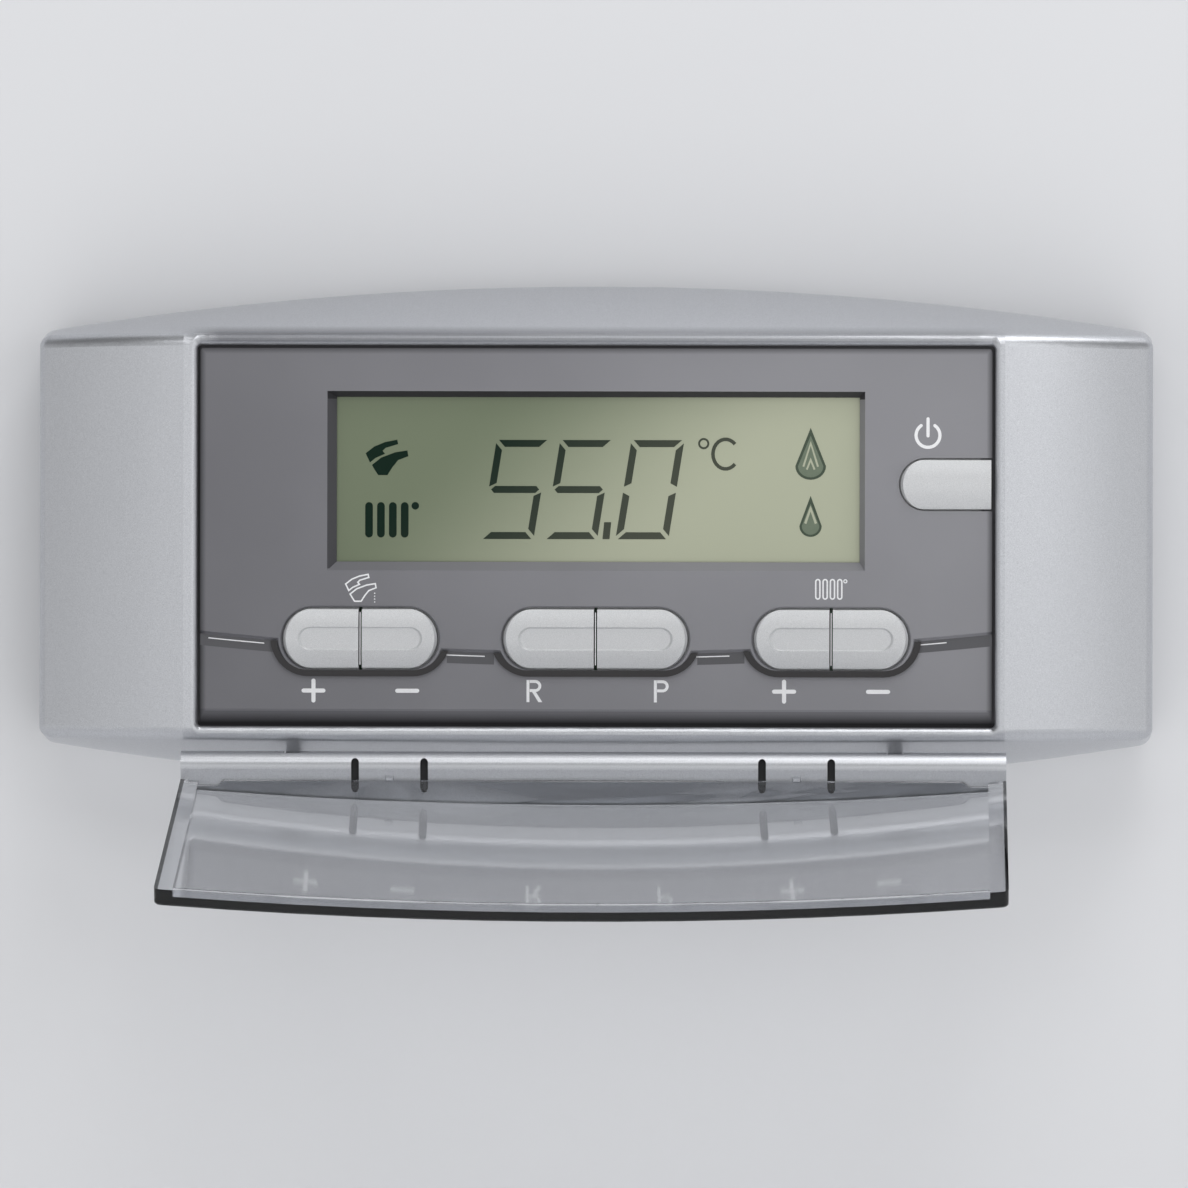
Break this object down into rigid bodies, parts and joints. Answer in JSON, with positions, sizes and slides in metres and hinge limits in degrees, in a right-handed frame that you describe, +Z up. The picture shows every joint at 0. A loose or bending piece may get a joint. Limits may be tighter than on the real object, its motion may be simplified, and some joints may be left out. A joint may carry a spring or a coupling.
{
  "type": "heating control unit",
  "caption": "Wall-mounted boiler control unit: silver shell with swelling bands, display, pill-shaped keys and a hinged clear flap hanging open below.",
  "frame": {"origin": "centre of the wall plate's back face, on the wall and midway between the four mounting holes", "axes": "+X to the right of someone facing the unit, +Z up, +Y into the wall; the front faces -Y"},
  "size_m": [0.23, 0.1166, 0.1283],
  "materials": {
    "silver_paint": "fine metallic silver lacquer on moulded plastic, satin",
    "fascia_grey": "dark grey, fine satin grain",
    "key_silver": "pale silver lacquer on moulded plastic, satin",
    "smoke_clear": "transparent moulded plastic with a light smoke tint, polished",
    "lcd_glass": "reflective display glass, olive grey, satin front",
    "gasket_foam": "black closed-cell foam",
    "frame_white": "white, satin",
    "guide_clear": "clear acrylic, polished edges",
    "led_yellow": "yellow lens over a white body",
    "zebra_strip": "silicone with dark conducting stripes",
    "board_green": "green solder mask, semi-gloss",
    "chip_black": "black moulded epoxy",
    "can_steel": "plain drawn metal can",
    "capacitor_sleeve": "dark sleeve",
    "tinned_pins": "plated pins in a dark header",
    "switch_black": "black",
    "stem_white": "natural white, low friction",
    "terminal_green": "green, semi-gloss",
    "zinc_steel": "zinc plated",
    "cover_silver": "silver grey, fine grain",
    "plate_grey": "mid grey, fine grain"
  },
  "bodies": {
    "unit": {"front_housing": "silver_paint", "fascia_panel": "fascia_grey", "fascia_screws": "zinc_steel", "lcd_glass": "lcd_glass", "lcd_gasket": "gasket_foam", "lcd_frame": "frame_white", "backlight_guide": "guide_clear", "backlight_leds": "led_yellow", "contact_strips": "zebra_strip", "main_board": "board_green", "board_screws": "zinc_steel", "controller_chip": "chip_black", "crystal": "can_steel", "capacitors": "capacitor_sleeve", "bus_header": "tinned_pins", "key_switch_bases": "switch_black", "bus_terminal": "terminal_green", "clamp_screws": "zinc_steel", "rear_cover": "cover_silver", "cover_screws": "zinc_steel", "wall_plate": "plate_grey"},
    "dhw_plus_key_body": {"dhw_plus_key": "key_silver", "dhw_plus_stem": "stem_white"},
    "dhw_minus_key_body": {"dhw_minus_key": "key_silver", "dhw_minus_stem": "stem_white"},
    "reset_key_body": {"reset_key": "key_silver", "reset_stem": "stem_white"},
    "program_key_body": {"program_key": "key_silver", "program_stem": "stem_white"},
    "heating_plus_key_body": {"heating_plus_key": "key_silver", "heating_plus_stem": "stem_white"},
    "heating_minus_key_body": {"heating_minus_key": "key_silver", "heating_minus_stem": "stem_white"},
    "power_key_body": {"power_key": "key_silver", "power_stem": "stem_white"},
    "flap": {"flap_bar": "silver_paint", "flap_window": "smoke_clear", "flap_hinge_pins": "zinc_steel"}
  },
  "joints": [
    {"name": "dhw_plus_press", "type": "slide", "parent": "unit", "child": "dhw_plus_key_body", "axis": [0, 1, 0], "range_m": [0, 0.0006], "stiffness_N_per_m": 2500, "springref_m": -0.0004},
    {"name": "dhw_minus_press", "type": "slide", "parent": "unit", "child": "dhw_minus_key_body", "axis": [0, 1, 0], "range_m": [0, 0.0006], "stiffness_N_per_m": 2500, "springref_m": -0.0004},
    {"name": "reset_press", "type": "slide", "parent": "unit", "child": "reset_key_body", "axis": [0, 1, 0], "range_m": [0, 0.0006], "stiffness_N_per_m": 2500, "springref_m": -0.0004},
    {"name": "program_press", "type": "slide", "parent": "unit", "child": "program_key_body", "axis": [0, 1, 0], "range_m": [0, 0.0006], "stiffness_N_per_m": 2500, "springref_m": -0.0004},
    {"name": "heating_plus_press", "type": "slide", "parent": "unit", "child": "heating_plus_key_body", "axis": [0, 1, 0], "range_m": [0, 0.0006], "stiffness_N_per_m": 2500, "springref_m": -0.0004},
    {"name": "heating_minus_press", "type": "slide", "parent": "unit", "child": "heating_minus_key_body", "axis": [0, 1, 0], "range_m": [0, 0.0006], "stiffness_N_per_m": 2500, "springref_m": -0.0004},
    {"name": "power_press", "type": "slide", "parent": "unit", "child": "power_key_body", "axis": [0, 1, 0], "range_m": [0, 0.0006], "stiffness_N_per_m": 2500, "springref_m": -0.0004},
    {"name": "flap_hinge", "type": "hinge", "parent": "unit", "child": "flap", "pos_m": [0, -0.0323, -0.0471], "axis": [-1, 0, 0], "range_deg": [0, 103.8]}
  ]
}
